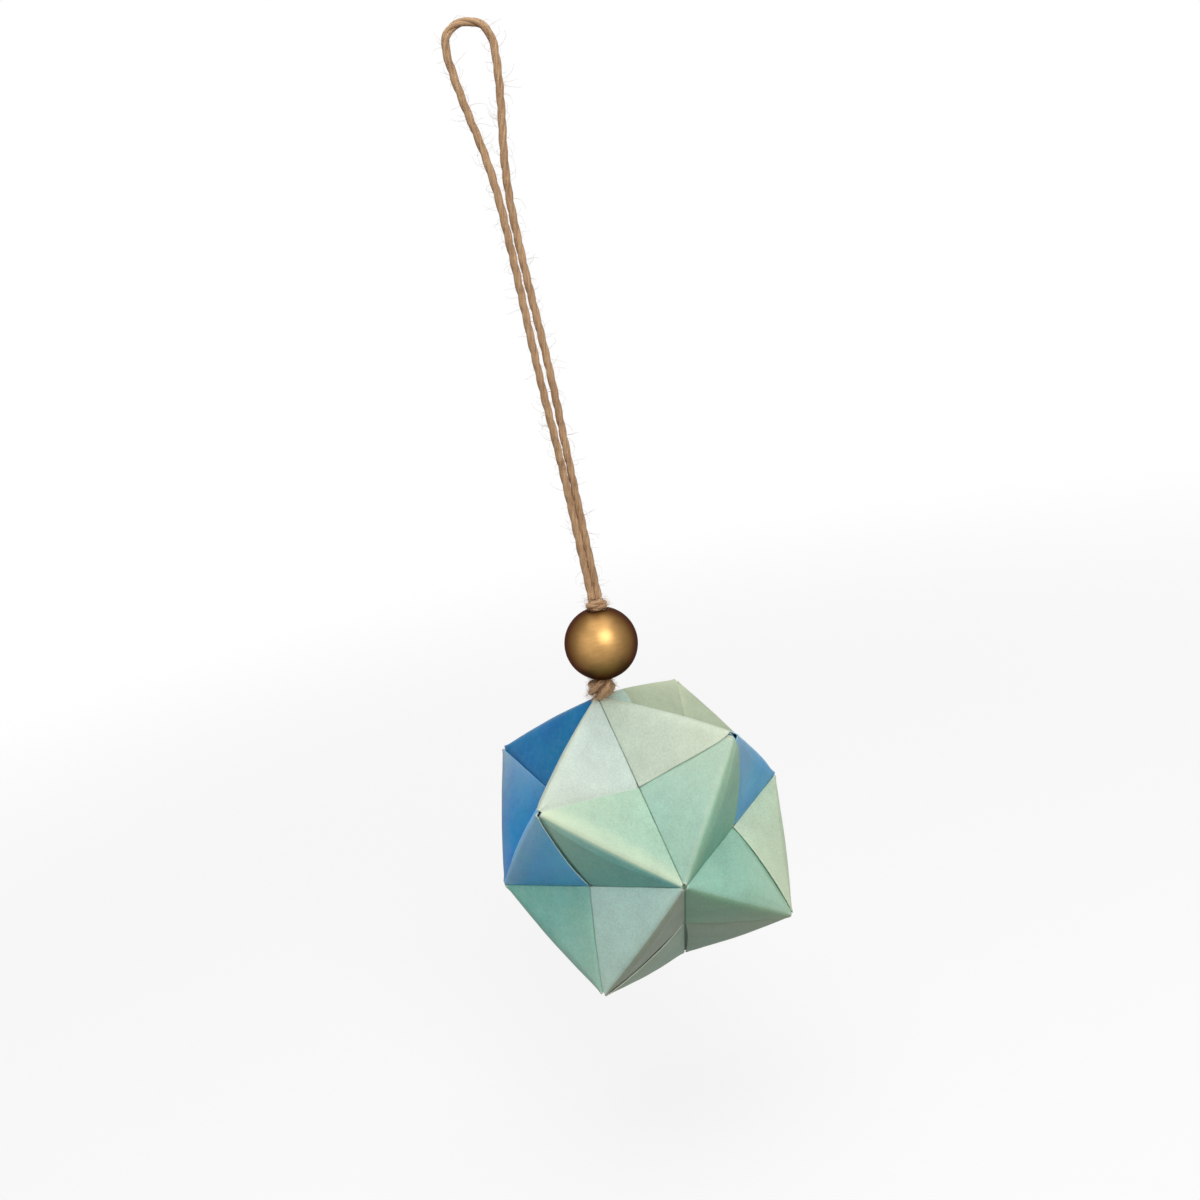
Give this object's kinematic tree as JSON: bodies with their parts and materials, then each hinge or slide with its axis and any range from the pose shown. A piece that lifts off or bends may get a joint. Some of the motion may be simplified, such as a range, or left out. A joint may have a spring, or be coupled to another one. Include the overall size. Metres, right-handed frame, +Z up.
{
  "type": "kusudama paper ball",
  "caption": "Modular folded paper ball of interlocking units with pyramid points, hung below a gold bead on a doubled jute twine loop.",
  "frame": {"origin": "inside of the top of the hanging loop, where a hook or a finger holds it", "axes": "+Z up along the twine, -Y towards the front of the ball, +X to its right"},
  "size_m": [0.0818, 0.082, 0.2566],
  "materials": {
    "paper_pale_mint": "satin",
    "paper_mint": "satin",
    "paper_teal": "satin",
    "paper_blue": "satin",
    "bead_gold": "painted",
    "jute_twine": "matte"
  },
  "bodies": {
    "root": {"unit_top_front": "paper_mint", "unit_top_left": "paper_blue", "unit_top_back": "paper_blue", "unit_top_right": "paper_blue", "unit_front_left": "paper_pale_mint", "unit_front_right": "paper_mint", "unit_back_left": "paper_blue", "unit_back_right": "paper_pale_mint", "unit_bottom_front": "paper_teal", "unit_bottom_left": "paper_teal", "unit_bottom_back": "paper_teal", "unit_bottom_right": "paper_pale_mint", "gold_bead": "bead_gold", "twine_loop": "jute_twine", "upper_knot": "jute_twine", "lower_knot": "jute_twine", "bead_strands": "jute_twine", "corner_strands": "jute_twine", "stopper_knot": "jute_twine"}
  },
  "joints": []
}
